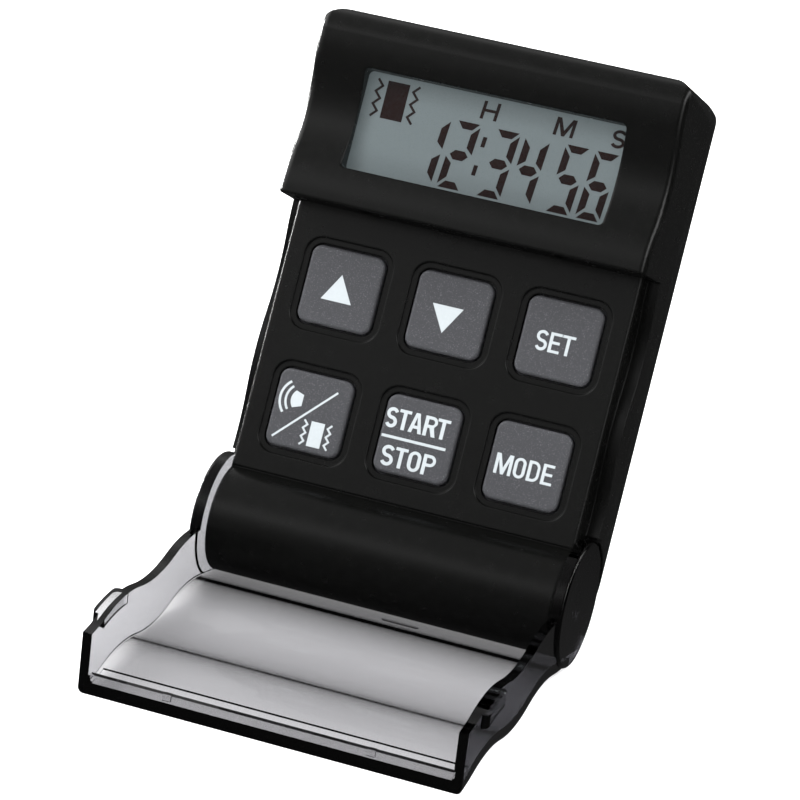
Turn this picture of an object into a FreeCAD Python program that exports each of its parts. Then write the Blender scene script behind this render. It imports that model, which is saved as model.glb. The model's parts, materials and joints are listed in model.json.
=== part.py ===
import FreeCAD, Part
import math
import os

import Sketcher
from FreeCAD import Placement, Rotation, Vector

# A pocket countdown timer that stands on its opened clear cover.
#
# Two frames are used.  The case frame has its origin on the axis of the cover's hinge, X to the
# right, Y up the case and Z out of the keypad.  The cover is drawn closed, in the same frame.
# Both are then placed on the table: the case leans back and the cover lies open in front of it.
# Lengths are in millimetres and angles in degrees.

SIZES = {
    # stance
    "lean_angle": 65.0,
    "open_angle": 115.0,
    # hinge and battery barrel
    "ear_radius": 10.0,
    "ear_inner": 28.6,
    "ear_outer": 30.6,
    "barrel_radius": 8.6,
    "barrel_half": 28.4,
    "barrel_bore": 7.5,
    "pin_radius": 2.45,
    "pin_clearance": 0.05,
    # wave that runs over the cover, the hood and the seams
    "wave_pitch": 25.5,
    "first_crest": 1.0,
    "hood_swing": 1.3,
    "cover_swing": 0.8,
    "seam_level": -6.6,
    "seam_swing": 1.6,
    "seam_gap": 0.12,
    # case
    "front_half": 30.0,
    "widest_half": 30.7,
    "widest_level": -5.0,
    "back_level": -11.5,
    "hood_start": 50.9,
    "top_round": 4.0,
    "back_round": 5.0,
    "heel_round": 3.0,
    "corner_round": 4.5,
    "edge_round": 2.5,
    "wall": 1.5,
    "plate_level": 3.6,
    "crease_round": 0.3,
    "shelf_gap": 0.15,
    # cover
    "cover_end": 50.7,
    "cover_skin": 1.8,
    "cover_wall_outer": 30.1,
    "cover_wall_drop": 9.8,
    "barrel_clearance": 0.25,
    "lip_width": 1.3,
    "lip_height": 3.2,
    "nub_column": 16.0,
    "nub_reach": 0.35,
    "grip_length": 8.6,
    "grip_height": 2.2,
    "grip_reach": 1.1,
    # keys
    "key_width": 12.2,
    "key_length": 12.3,
    "key_round": 1.6,
    "key_column_pitch": 18.0,
    "key_row_pitch": 19.9,
    "first_key_row": 18.7,
    "key_proud": 0.3,
    "key_gap": 0.35,
    "key_travel": 0.8,
    "key_flange": 0.8,
    "key_flange_reach": 0.85,
    "key_rest_gap": 0.05,
    "key_edge_round": 0.5,
    "dish_margin": 1.25,
    "dish_depth": 0.4,
    # display
    "window_width": 42.8,
    "window_length": 16.0,
    "window_centre": 64.8,
    "lens_width": 46.4,
    "lens_length": 19.6,
    "lens_thickness": 1.0,
    "lens_front": 6.2,
    "glass_width": 44.8,
    "glass_length": 18.4,
    "glass_thickness": 2.0,
    "glass_front": 5.1,
    # board and what it carries
    "board_half": 26.3,
    "board_start": 11.6,
    "board_end": 78.5,
    "board_front": -1.5,
    "board_thickness": 1.2,
    "mat_sheet": 0.8,
    "dome_height": 1.05,
    # screws
    "case_screw_column": 25.6,
    "case_screw_low": 28.65,
    "case_screw_high": 72.0,
    "screw_radius": 0.98,
    "screw_head_radius": 1.9,
    "screw_head": 1.3,
    "boss_radius": 2.0,
    "boss_split": -5.0,
    # battery and its door
    "cell_radius": 7.1,
    "cell_length": 50.4,
    "door_half": 25.6,
    "door_start": -1.5,
    "door_end": 16.1,
    # vibration motor and buzzer
    "motor_radius": 3.0,
    "motor_length": 12.0,
    "motor_row": 60.0,
    "weight_radius": 3.2,
    "buzzer_radius": 9.0,
    "buzzer_column": -12.5,
    "buzzer_row": 60.0,
}

doc = FreeCAD.newDocument("FlipTimer")
sheet = doc.addObject("Spreadsheet::Sheet", "Sizes")
for row, (name, value) in enumerate(SIZES.items(), start=1):
    sheet.set(f"A{row}", name)
    sheet.set(f"B{row}", str(value))
    sheet.setAlias(f"B{row}", name)
doc.recompute()


def size(name):
    """A driving size, read from the sheet."""
    return float(sheet.get(name))


BIG = 200.0
RIGHT = Vector(1, 0, 0)
pieces = []


# ------------------------------------------------------------------ stance

def top_end():
    """The case ends one rounding past the hood's upper crest."""
    return size("first_crest") + 3 * size("wave_pitch") + size("top_round")


def back_reach():
    """How far the leaning case reaches behind the hinge axis, at its rounded top back edge."""
    lean = math.radians(size("lean_angle"))
    round_y = top_end() - size("back_round")
    round_z = size("back_level") + size("back_round")
    return round_y * math.cos(lean) - round_z * math.sin(lean) + size("back_round")


def hinge_place(angle):
    """The hinge axis over the table, with the footprint centred on the origin, turned by angle."""
    cover_reach = size("cover_end") + size("nub_reach")
    middle = (cover_reach - back_reach()) / 2
    return Placement(Vector(0, middle, size("ear_radius")), Rotation(RIGHT, angle))


CASE = hinge_place(size("lean_angle"))
COVER = hinge_place(size("lean_angle") + size("open_angle"))


# ------------------------------------------------------------------ outlines in the YZ plane

def at(y, z):
    return Vector(0, y, z)


def line(a, b):
    return Part.makeLine(a, b)


def arc(a, middle, b):
    return Part.Arc(a, middle, b).toShape()


def arc_about(centre, radius, start, end):
    """Arc about centre from angle start to angle end, in degrees from +Y towards +Z."""
    def on_arc(angle):
        turn = math.radians(angle)
        return centre + at(radius * math.cos(turn), radius * math.sin(turn))
    return arc(on_arc(start), on_arc((start + end) / 2), on_arc(end))


def wave_radius(swing):
    """Radius of every arc of a wave."""
    half = size("wave_pitch") / 2
    return (half ** 2 / 4 + swing ** 2) / (2 * swing)


def wave_level(y, middle, swing):
    """Height of a wave of equal tangent arcs, with a crest at first_crest and one every pitch."""
    half = size("wave_pitch") / 2
    radius = wave_radius(swing)
    step = round((y - size("first_crest")) / half)
    side = 1 if step % 2 == 0 else -1
    along = y - size("first_crest") - step * half
    return middle + side * (swing - radius + math.sqrt(radius ** 2 - along ** 2))


def wave(y_from, y_to, middle, swing):
    """The wave's arcs between two stations."""
    half = size("wave_pitch") / 2
    joins = [size("first_crest") + half * (n + 0.5) for n in range(-2, 8)]
    stops = [y_from] + [y for y in joins if y_from < y < y_to] + [y_to]

    def on_wave(y):
        return at(y, wave_level(y, middle, swing))
    return [arc(on_wave(a), on_wave((a + b) / 2), on_wave(b)) for a, b in zip(stops, stops[1:])]


def chain(start, *points):
    """Straight edges through points."""
    stops = [start, *points]
    return [line(a, b) for a, b in zip(stops, stops[1:])]


def prism(edges, x_from, x_to):
    """Solid with the given YZ outline between two stations along X."""
    face = Part.Face(Part.Wire(Part.__sortEdges__(edges)))
    face.translate(Vector(x_from, 0, 0))
    return face.extrude(Vector(x_to - x_from, 0, 0))


def block(x_from, x_to, y_from, y_to, z_from, z_to, round_by=0.0):
    """Block between two corners, with its edges along Z rounded if asked."""
    solid = Part.makeBox(x_to - x_from, y_to - y_from, z_to - z_from, Vector(x_from, y_from, z_from))
    if round_by:
        solid = rounded_where(solid, lambda e: is_along(e, Vector(0, 0, 1)), round_by)
    return solid


def is_along(edge, direction):
    if not isinstance(edge.Curve, Part.Line):
        return False
    return abs(abs(edge.Curve.Direction.dot(direction)) - 1) < 1e-6


def rounded_where(solid, wanted, radius):
    """The solid with a fillet on every edge that wanted() picks."""
    return solid.makeFillet(radius, [e for e in solid.Edges if wanted(e)])


def rod(x, y, z_from, z_to, radius):
    """Cylinder along Z."""
    return Part.makeCylinder(radius, z_to - z_from, Vector(x, y, z_from))


def axle(x_from, x_to, y, z, radius):
    """Cylinder along X."""
    return Part.makeCylinder(radius, x_to - x_from, Vector(x_from, y, z), RIGHT)


def round_wire(points, radius):
    """Wire of round section on a smooth curve through points."""
    path = Part.BSplineCurve()
    path.interpolate([Vector(*p) for p in points])
    spine = Part.Wire(path.toShape())
    section = Part.Wire(Part.makeCircle(radius, path.value(0), path.tangent(0)[0]))
    return spine.makePipeShell([section], True, True)


# ------------------------------------------------------------------ levels shared by the shells

def crest_level():
    """Every outer crest is level with the ears, so that the open cover lies flat on the table."""
    return size("ear_radius")


def hood_middle():
    return crest_level() - size("hood_swing")


def cover_middle():
    return crest_level() - size("cover_swing")


def wall_edge_middle():
    """Middle of the wave along the free edge of the cover's side walls."""
    return cover_middle() - size("cover_wall_drop")


def shelf_middle():
    return wall_edge_middle() - size("shelf_gap")


def half_width(level):
    """The hood's sides lean out slightly from the front to the widest level."""
    slope = (size("widest_half") - size("front_half")) / (crest_level() - size("widest_level"))
    return size("widest_half") - slope * (level - size("widest_level"))


def key_places():
    """Centres of the keys, in rows from the top left."""
    rows = (size("first_key_row") + size("key_row_pitch"), size("first_key_row"))
    columns = (-size("key_column_pitch"), 0.0, size("key_column_pitch"))
    return [(x, y) for y in rows for x in columns]


def case_screw_places():
    rows = (size("case_screw_low"), size("case_screw_high"))
    return [(side * size("case_screw_column"), y) for side in (-1, 1) for y in rows]


BOARD_SCREW_PLACES = [(-9.0, 28.65), (9.0, 28.65), (-20.0, 48.6), (20.0, 48.6)]
BOARD_SCREW_HOLE = 0.85


# ------------------------------------------------------------------ outer form of the case

def heel_centre():
    """Centre of the heel's rounding, placed so that the heel touches the table."""
    lean = math.radians(size("lean_angle"))
    z = size("back_level") + size("heel_round")
    y = -(crest_level() - size("heel_round") + z * math.cos(lean)) / math.sin(lean)
    return at(y, z)


def crease_centre():
    """Centre of the small round between the keypad plate and the barrel."""
    z = size("plate_level") + size("crease_round")
    y = math.sqrt((size("barrel_radius") + size("crease_round")) ** 2 - z ** 2)
    return at(y, z)


def core_outline():
    """Keypad plate, battery barrel, heel and flat back, as wide as the barrel."""
    plate = size("plate_level")
    radius = size("barrel_radius")
    heel = heel_centre()
    heel_round = size("heel_round")
    to_heel = math.atan2(heel.z, heel.y)
    tilt = math.acos((radius - heel_round) / heel.Length)
    tangent = math.degrees(to_heel - tilt)
    outward = at(math.cos(math.radians(tangent)), math.sin(math.radians(tangent)))
    crease = crease_centre()
    crease_turn = math.degrees(math.atan2(crease.z, crease.y))
    back = size("back_level")
    end = size("hood_start") + size("wall")
    return [
        arc_about(at(0, 0), radius, crease_turn, 360 + tangent),
        line(radius * outward, heel + heel_round * outward),
        arc_about(heel, heel_round, tangent, -90),
        *chain(at(heel.y, back), at(end, back), at(end, plate), at(crease.y, plate)),
        arc_about(crease, size("crease_round"), -90, crease_turn - 180),
    ]


def hood_outline():
    """Display housing: the wave in front, rounded over the top end and down to the back."""
    start = size("hood_start")
    crest = size("first_crest") + 3 * size("wave_pitch")
    end = top_end()
    front = crest_level() - size("top_round")
    back = size("back_level")
    back_turn = back + size("back_round")
    start_level = wave_level(start, hood_middle(), size("hood_swing"))
    return [
        *wave(start, crest, hood_middle(), size("hood_swing")),
        arc_about(at(crest, front), size("top_round"), 90, 0),
        line(at(end, front), at(end, back_turn)),
        arc_about(at(end - size("back_round"), back_turn), size("back_round"), 0, -90),
        *chain(at(end - size("back_round"), back), at(start, back), at(start, start_level)),
    ]


def flange_outline():
    """Side shelf that the closed cover's walls rest on, reaching round behind the hinge ears."""
    around = size("ear_radius") + 0.45
    low_end = 1.0
    shelf_start = 10.6
    back = size("back_level")
    end = size("hood_start") + size("wall")
    swing = size("cover_swing")
    start_level = wave_level(shelf_start, shelf_middle(), swing)
    end_level = wave_level(end, shelf_middle(), swing)
    turn_level = -math.sqrt(around ** 2 - 10.0 ** 2)
    low_level = -math.sqrt(around ** 2 - low_end ** 2)
    from_turn = math.degrees(math.atan2(turn_level, 10.0))
    from_low = math.degrees(math.atan2(low_level, low_end))
    return [
        *wave(shelf_start, end, shelf_middle(), swing),
        *chain(at(end, end_level), at(end, back), at(low_end, back), at(low_end, low_level)),
        arc_about(at(0, 0), around, from_low, from_turn),
        *chain(at(10.0, turn_level), at(shelf_start, turn_level), at(shelf_start, start_level)),
    ]


def girdle():
    """Prism along Y that gives the case its drafted sides and its rounded back edges."""
    front = crest_level() + size("top_round")
    widest = size("widest_half")
    edge = size("edge_round")
    back = size("back_level")
    corner = edge * (1 - math.sqrt(0.5))
    right = [
        Vector(half_width(front), 0, front),
        Vector(widest, 0, size("widest_level")),
        Vector(widest, 0, back + edge),
        Vector(widest - corner, 0, back + corner),
        Vector(widest - edge, 0, back),
    ]
    left = [Vector(-p.x, 0, p.z) for p in right]
    edges = [
        line(right[0], right[1]),
        line(right[1], right[2]),
        arc(right[2], right[3], right[4]),
        line(right[4], left[4]),
        arc(left[4], left[3], left[2]),
        line(left[2], left[1]),
        line(left[1], left[0]),
        line(left[0], right[0]),
    ]
    face = Part.Face(Part.Wire(Part.__sortEdges__(edges)))
    face.translate(Vector(0, -BIG, 0))
    return face.extrude(Vector(0, 2 * BIG, 0))


def plan():
    """Front view of the case: wide and straight, with rounded top corners."""
    widest = size("widest_half") + 1
    rounded = block(-size("widest_half"), size("widest_half"), -BIG, top_end(), -BIG, BIG,
                    size("corner_round"))
    return rounded.common(block(-widest, widest, -BIG / 2, BIG, -BIG, BIG))


def case_form():
    """The whole case as one solid block, before it is split and hollowed."""
    half = size("barrel_half")
    wide = size("widest_half")
    core = rounded_where(prism(core_outline(), -half, half), is_core_rim, 0.5)
    hood = prism(hood_outline(), -wide, wide)
    flange = prism(flange_outline(), -wide, wide)
    form = core.fuse([hood, flange]).common(girdle()).common(plan()).removeSplitter()
    form = Part.Solid(form.Shells[0]) if form.ShapeType == "Compound" else form
    form = rounded_where(form, is_hood_rim, 1.1)
    form = rounded_where(form, is_hood_lip, 0.4)
    crease = crease_centre()
    groove_radius = 0.2
    groove = axle(-wide, wide, crease.y - 0.05, size("plate_level"), groove_radius)
    return form.cut(groove)


def is_hood_rim(edge):
    """Side edges of the hood's wavy front, from its lower edge over the top rounding."""
    box = edge.BoundBox
    in_front = box.ZMin > crest_level() - size("top_round") - 0.01
    at_side = abs(edge.CenterOfMass.x) > size("front_half") - 2
    return in_front and at_side and box.XLength < 2 and box.YMin > size("hood_start") - 0.1


def is_hood_lip(edge):
    """Lower front edge of the hood, with the ends that run round its sides."""
    box = edge.BoundBox
    on_lip = abs(box.YMin - size("hood_start")) < 1e-3 and box.YLength < 1e-3
    return on_lip and box.ZMin > size("plate_level") + 1


def is_core_rim(edge):
    """Side edges of the plate and the barrel, down to the heel."""
    box = edge.BoundBox
    at_side = box.XLength < 1e-3
    in_front = box.ZMin > heel_centre().z - size("heel_round") + 0.5
    return at_side and in_front and box.YMin < size("crease_round") + size("barrel_radius")


# ------------------------------------------------------------------ seam and hollow

def above_seam(shift):
    """Everything in front of the wavy seam between the shells, moved by shift along Z."""
    middle = size("seam_level") + shift
    first_valley = size("first_crest") + size("wave_pitch") / 2
    barrel_side = -15.0
    barrel_side_level = 1.16
    far_end = 90.0
    ceiling = 40.0
    start = at(barrel_side, barrel_side_level + shift)
    valley = at(first_valley, wave_level(first_valley, middle, size("seam_swing")))
    finish = at(far_end, wave_level(far_end, middle, size("seam_swing")))
    edges = [
        line(start, valley),
        *wave(first_valley, far_end, middle, size("seam_swing")),
        *chain(finish, at(far_end, ceiling), at(barrel_side, ceiling), start),
    ]
    return prism(edges, -BIG, BIG)


def hollow():
    """Space inside the two shells."""
    wall = size("wall")
    half = size("barrel_half") - wall
    wide = size("widest_half") - wall
    floor = size("back_level") + wall
    hood_start = size("hood_start") + wall
    hood_inner = wave_outline_hollow(hood_start)
    below_shelf = shelf_middle() - size("cover_swing") - wall
    cell = axle(-half, half, 0, 0, size("barrel_bore"))
    behind_cell = block(-half, half, heel_centre().y, hood_start, floor, 0)
    keys = block(-half, half, 7.0, hood_start, floor, size("plate_level") - wall)
    flanks = along_y_rounded(-wide, wide, 12.6, top_end() - wall, floor, below_shelf)
    hood = prism(hood_inner, -wide + 0.6, wide - 0.6).cut(lens_seat())
    return cell.fuse([behind_cell, keys, flanks, hood, lens_pocket()]).removeSplitter()


def wave_outline_hollow(start):
    """Inside of the hood: the front wave set back by the wall, and the rounded top end."""
    wall = size("wall")
    crest = size("first_crest") + 3 * size("wave_pitch")
    middle = hood_middle() - wall
    inner_round = size("top_round") - wall
    end = top_end() - wall
    floor = size("back_level") + wall
    turn = crest_level() - size("top_round")
    back_round = size("back_round") - wall
    start_level = wave_level(start, middle, size("hood_swing"))
    return [
        *wave(start, crest, middle, size("hood_swing")),
        arc_about(at(crest, turn), inner_round, 90, 0),
        line(at(end, turn), at(end, floor + back_round)),
        arc_about(at(end - back_round, floor + back_round), back_round, 0, -90),
        *chain(at(end - back_round, floor), at(start, floor), at(start, start_level)),
    ]


def along_y_rounded(x_from, x_to, y_from, y_to, z_from, z_to):
    """Block whose back edges along Y are rounded."""
    solid = Part.makeBox(x_to - x_from, y_to - y_from, z_to - z_from, Vector(x_from, y_from, z_from))
    back = [e for e in solid.Edges
            if is_along(e, Vector(0, 1, 0)) and abs(e.CenterOfMass.z - z_from) < 1e-6]
    return solid.makeFillet(1.6, back)


def lens_seat():
    """Flat seat behind the hood's wave that the lens is bonded to."""
    border = 2.2
    half = size("lens_width") / 2 + border
    reach = size("lens_length") / 2 + border
    centre = size("window_centre")
    return block(-half, half, centre - reach, centre + reach, size("lens_front"), BIG)


def lens_pocket():
    """Room for the lens where the hood's wave dips below its seat."""
    room = 0.15
    half = size("lens_width") / 2 + room
    reach = size("lens_length") / 2 + room
    centre = size("window_centre")
    return block(-half, half, centre - reach, centre + reach, 0, size("lens_front"))


def window_cut():
    half = size("window_width") / 2
    reach = size("window_length") / 2
    centre = size("window_centre")
    return block(-half, half, centre - reach, centre + reach, size("lens_front") - 1, BIG, 0.8)


def key_cuts():
    """Openings for the keys, each in a shallow dish with a crisp rim."""
    cuts = []
    gap = size("key_gap")
    rim = size("dish_margin")
    plate = size("plate_level")
    for x, y in key_places():
        for margin, floor in ((gap, 0.0), (rim, plate - size("dish_depth"))):
            half = size("key_width") / 2 + margin
            reach = size("key_length") / 2 + margin
            cuts.append(block(x - half, x + half, y - reach, y + reach, floor, plate + 2,
                              size("key_round") + margin))
    return cuts


def latch_notches():
    """Two notches at the foot of the hood's end that take the nubs on the cover."""
    column = size("nub_column")
    half = 1.0
    depth = 0.55
    start = size("hood_start") - 1
    top = lip_level() + 1.7
    return [block(x - half, x + half, start, size("hood_start") + depth, size("plate_level"), top)
            for x in (-column, column)]


# ------------------------------------------------------------------ shells and cover

def add_shape(name, shape, place):
    """A sub-part whose form needs Part's own functions."""
    feature = doc.addObject("Part::Feature", name)
    feature.Label = name
    feature.Shape = shape
    feature.Placement = place
    pieces.append(feature)
    return feature


def single_solid(shape):
    """The one solid in a boolean's result."""
    solids = shape.removeSplitter().Solids
    if len(solids) != 1:
        raise RuntimeError(f"expected one solid, got {len(solids)}")
    return solids[0]


def front_shell():
    gap = size("seam_gap") / 2
    shell = case_form().common(above_seam(gap)).cut(hollow())
    bosses = []
    screw_holes = []
    for x, y in case_screw_places():
        root = size("plate_level") - size("wall") / 2 if y < size("hood_start") else 8.0
        bosses.append(rod(x, y, size("boss_split"), root, size("boss_radius")))
        screw_holes.append(rod(x, y, size("boss_split") - 1, -0.5, size("screw_radius") + 0.04))
    for x, y in BOARD_SCREW_PLACES:
        bosses.append(rod(x, y, size("board_front"), size("plate_level") - 1, 1.9))
        screw_holes.append(rod(x, y, size("board_front") - 1, 1.2, BOARD_SCREW_HOLE))
    end = size("barrel_half") + 0.1
    pin_hole = size("pin_radius") + size("pin_clearance")
    hinge_holes = [axle(-end, -end + 2.5, 0, 0, pin_hole), axle(end - 2.5, end, 0, 0, pin_hole)]
    shell = shell.fuse(bosses)
    shell = shell.cut([*screw_holes, *hinge_holes, *key_cuts(), window_cut(), *latch_notches()])
    shell = rounded_where(single_solid(shell), is_window_rim, 0.25)
    shell = rounded_where(shell, is_dish_rim, 0.2)
    add_shape("front_shell", single_solid(shell), CASE)


def is_window_rim(edge):
    """Edge of the window's opening on the hood's wavy front."""
    box = edge.BoundBox
    half = size("window_width") / 2 + 0.01
    low = size("window_centre") - size("window_length") / 2 - 0.01
    high = size("window_centre") + size("window_length") / 2 + 0.01
    in_outline = box.XMin > -half and box.XMax < half and box.YMin > low and box.YMax < high
    return in_outline and box.ZMin > size("lens_front") + 0.8


def is_dish_rim(edge):
    """Upper edge of the dish around a key."""
    box = edge.BoundBox
    half = size("key_width") / 2 + size("dish_margin") + 0.01
    reach = size("key_length") / 2 + size("dish_margin") + 0.01
    at_plate = abs(box.ZMin - size("plate_level")) < 1e-3 and box.ZLength < 1e-3
    return at_plate and any(
        max(x - box.XMin, box.XMax - x) < half and max(y - box.YMin, box.YMax - y) < reach
        for x, y in key_places())


def door_outline(margin, level_from, level_to, inset=0.0):
    """Block over the battery door's outline, grown by margin."""
    half = size("door_half") - inset + margin
    start = size("door_start") + inset - margin
    end = size("door_end") - inset + margin
    return block(-half, half, start, end, level_from, level_to, 0.6)


def rear_shell():
    gap = size("seam_gap") / 2
    back = size("back_level")
    floor = back + size("wall")
    shell = case_form().cut(above_seam(-gap)).cut(hollow())
    shell = max(shell.Solids, key=lambda s: s.Volume)
    bosses = []
    holes = []
    for x, y in case_screw_places():
        bosses.append(rod(x, y, floor, size("boss_split") - 0.05, size("boss_radius") + 0.2))
        holes.append(rod(x, y, back - 1, BIG, size("screw_radius") + 0.12))
        holes.append(rod(x, y, back - 1, floor, size("screw_head_radius") + 0.15))
    partition = block(-size("barrel_half") + 1, size("barrel_half") - 1, 17.0, 17.8, floor, -3.4)
    x, y = size("buzzer_column"), size("buzzer_row")
    ring = rod(x, y, floor, floor + 0.8, size("buzzer_radius")).cut(
        rod(x, y, floor, BIG, size("buzzer_radius") - 1))
    cradle_height = 2.0
    cradles = [block(cx, cx + 1.0, size("motor_row") - 4.5, size("motor_row") + 4.5,
                     floor, floor + cradle_height) for cx in (7.0, 16.0)]
    boot = motor_boot_radius() + 0.02
    cradles = [c.cut(axle(0, 30, size("motor_row"), motor_level(), boot)) for c in cradles]
    slots = [block(x - 4, x + 4, y + dy - 0.45, y + dy + 0.45, back - 1, floor + 0.5, 0.44)
             for dy in (-3.0, 0.0, 3.0)]
    ledge = 0.8
    door_cuts = [door_outline(0.1, back - 1, floor - size("wall") / 2),
                 door_outline(0.1, back - 1, floor + 1, ledge)]
    shell = shell.fuse([*bosses, partition, ring, *cradles]).cut([*holes, *slots, *door_cuts])
    add_shape("rear_shell", single_solid(shell), CASE)


def battery_door():
    """Flat lid that plugs into the back, with a finger scoop near its lower edge."""
    back = size("back_level")
    lid = door_outline(0.0, back, back + 0.7)
    plug = door_outline(0.0, back, back + 1.4, 0.8)
    scoop = block(-5, 5, size("door_start") + 1.5, size("door_start") + 3.1, back - 1, back + 0.6, 0.7)
    ribs = [block(-12 + 12 * n - 0.4, -12 + 12 * n + 0.4, size("door_start") + 2.5,
                  size("door_end") - 2.5, back + 1.2, back + 2.0) for n in range(3)]
    add_shape("battery_door", single_solid(lid.fuse([plug, *ribs]).cut(scoop)), CASE)


def flip_cover():
    """Clear channel-shaped cover: wavy floor, two side walls and the hinge ears with their pins."""
    end = size("cover_end")
    middle = cover_middle()
    swing = size("cover_swing")
    skin = size("cover_skin")
    outer = size("cover_wall_outer")
    inner = size("ear_inner")
    floor_start = 0.5
    edge_middle = wall_edge_middle()
    around = size("barrel_radius") + size("barrel_clearance")
    tilt = relief_tilt()
    outward = at(math.sin(tilt), math.cos(tilt))
    crest_arc = wave_radius(swing)
    crest_centre = at(size("first_crest"), middle - skin + swing - crest_arc)
    relief_end = crest_centre + crest_arc * outward
    start_tilt = math.asin(floor_start / around)
    relief_start = at(floor_start, around * math.cos(start_tilt))
    floor_outline = [
        *wave(floor_start, end, middle, swing),
        arc_about(at(0, 0), around, 90 - math.degrees(tilt), 90 - math.degrees(start_tilt)),
        line(around * outward, relief_end),
        *wave(relief_end.y, end, middle - skin, swing),
        line(at(floor_start, wave_level(floor_start, middle, swing)), relief_start),
        line(at(end, wave_level(end, middle, swing)),
             at(end, wave_level(end, middle - skin, swing))),
    ]
    wall_outline = [
        *wave(floor_start, end, middle, swing),
        *wave(floor_start, end, edge_middle, swing),
        line(at(floor_start, wave_level(floor_start, middle, swing)),
             at(floor_start, wave_level(floor_start, edge_middle, swing))),
        line(at(end, wave_level(end, middle, swing)),
             at(end, wave_level(end, edge_middle, swing))),
    ]
    shell = prism(floor_outline, -outer, outer)
    walls = [prism(wall_outline, -outer, -inner), prism(wall_outline, inner, outer)]
    shell = shell.fuse(walls).removeSplitter()
    shell = rounded_where(shell, is_cover_rim, 0.9)
    shell = rounded_where(shell, is_cover_corner, 0.3)
    shell = shell.cut([cover_channel(), cover_slot()])
    ears = [cover_ear(side) for side in (-1, 1)]
    extras = [cover_lip(), *cover_grips(), *cover_nubs()]
    add_shape("flip_cover", single_solid(shell.fuse([*ears, *extras])), COVER)


def relief_tilt():
    """Slope angle of the flat that leads from the room around the barrel on to the floor's wave."""
    swing = size("cover_swing")
    around = size("barrel_radius") + size("barrel_clearance")
    radius = wave_radius(swing)
    centre = at(size("first_crest"), cover_middle() - size("cover_skin") + swing - radius)
    return math.acos((radius - around) / centre.Length) - math.atan2(centre.y, -centre.z)


def is_cover_rim(edge):
    """Long outer edges of the cover, between floor and side walls."""
    box = edge.BoundBox
    column = abs(edge.CenterOfMass.x)
    on_side = abs(column - size("cover_wall_outer")) < 1e-3 and box.XLength < 1e-3
    return on_side and box.ZMin > 5 and box.YLength > 1


def is_cover_corner(edge):
    """Inner edges between floor and side walls."""
    box = edge.BoundBox
    on_side = abs(abs(edge.CenterOfMass.x) - size("ear_inner")) < 1e-3 and box.XLength < 1e-3
    return on_side and box.ZMin > 5 and box.YLength > 1


def lip_level():
    """Inner edge of the thickened lip along the cover's free end."""
    return wave_level(size("cover_end"), cover_middle(), size("cover_swing")) - size("lip_height")


def cover_slot():
    """Small blind slot in the cover's inner face, beside the barrel."""
    depth = 1.1
    row = 5.65
    width = 0.9
    level = wave_level(row, cover_middle() - size("cover_skin"), size("cover_swing"))
    return block(1.0, 7.0, row - width / 2, row + width / 2, level - 1, level + depth, 0.44)


def cover_channel():
    """Shallow channel in the cover's inner face, along the lip."""
    depth = 0.3
    start = size("cover_end") - 4.7
    end = size("cover_end")
    level = cover_middle() - size("cover_skin")
    swing = size("cover_swing")
    half = size("ear_inner") - 0.4
    outline = [
        *wave(start, end, level - 0.5, swing),
        *wave(start, end, level + depth, swing),
        *[line(at(y, wave_level(y, level - 0.5, swing)), at(y, wave_level(y, level + depth, swing)))
          for y in (start, end)],
    ]
    return prism(outline, -half, half)


def cover_lip():
    """Thickened lip along the cover's free end, between the side walls."""
    end = size("cover_end")
    half = size("ear_inner") + 0.5
    start = end - size("lip_width")
    lip = block(-half, half, start, end, lip_level(), lip_level() + 1.8)
    return rounded_where(lip, is_lip_rim, 0.3)


def is_lip_rim(edge):
    """Long edge of the lip that faces the keys and the hinge."""
    middle = edge.CenterOfMass
    at_start = abs(middle.y - size("cover_end") + size("lip_width")) < 1e-3
    return at_start and abs(middle.z - lip_level()) < 1e-3 and is_along(edge, RIGHT)


def cover_ear(side):
    """Round ear with a softened outer edge and the pin it turns on."""
    inner = size("ear_inner")
    outer = size("ear_outer")
    radius = size("ear_radius")
    disc = axle(inner, outer, 0, 0, radius)
    disc = rounded_where(disc, lambda e: e.Closed and abs(e.CenterOfMass.x - outer) < 1e-3, 0.5)
    pin = axle(size("barrel_half") - size("wall") + 0.1, inner + 0.5, 0, 0, size("pin_radius"))
    ear = disc.fuse(pin)
    return ear if side > 0 else ear.mirror(Vector(), RIGHT)


def cover_grips():
    """Thumb grips on the outside of the side walls, at their free edges."""
    start = 41.0 - size("grip_length") / 2
    end = 41.0 + size("grip_length") / 2
    outer = size("cover_wall_outer")
    reach = size("grip_reach")
    swing = size("cover_swing")
    low = wall_edge_middle()
    high = low + size("grip_height")
    outline = [
        *wave(start, end, low, swing),
        *wave(start, end, high, swing),
        *[line(at(y, wave_level(y, low, swing)), at(y, wave_level(y, high, swing)))
          for y in (start, end)],
    ]

    def is_outer_end(edge):
        return is_along(edge, Vector(0, 0, 1)) and edge.CenterOfMass.x > outer + reach - 0.1

    grip = rounded_where(prism(outline, outer - 0.4, outer + reach), is_outer_end, 0.9)
    return [grip, grip.mirror(Vector(), RIGHT)]


def cover_nubs():
    """Two small rounded nubs on the lip that drop into the hood's notches."""
    half = 0.7
    height = 0.9
    reach = size("nub_reach")
    end = size("cover_end")
    column = size("nub_column")
    level = lip_level() - 0.15
    return [block(x - half, x + half, end - 0.9, end + reach, level, level + height, 0.3)
            for x in (-column, column)]


def motor_boot_radius():
    return size("motor_radius") + 0.6


def motor_level():
    """The boot rests on the inside of the rear shell."""
    return size("back_level") + size("wall") + motor_boot_radius()


# ------------------------------------------------------------------ helpers for bound objects

def keep(piece, name, place):
    """Registers a finished sub-part under its own label and places it."""
    piece.Label = name
    piece.Placement = place
    pieces.append(piece)
    return piece


def bound(kind, name, place=None, **expressions):
    """Part primitive with its sizes bound to the sheet."""
    primitive = doc.addObject(kind, name)
    for prop, expression in expressions.items():
        primitive.setExpression(prop, expression)
    primitive.Placement = place or Placement()
    return primitive


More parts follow.
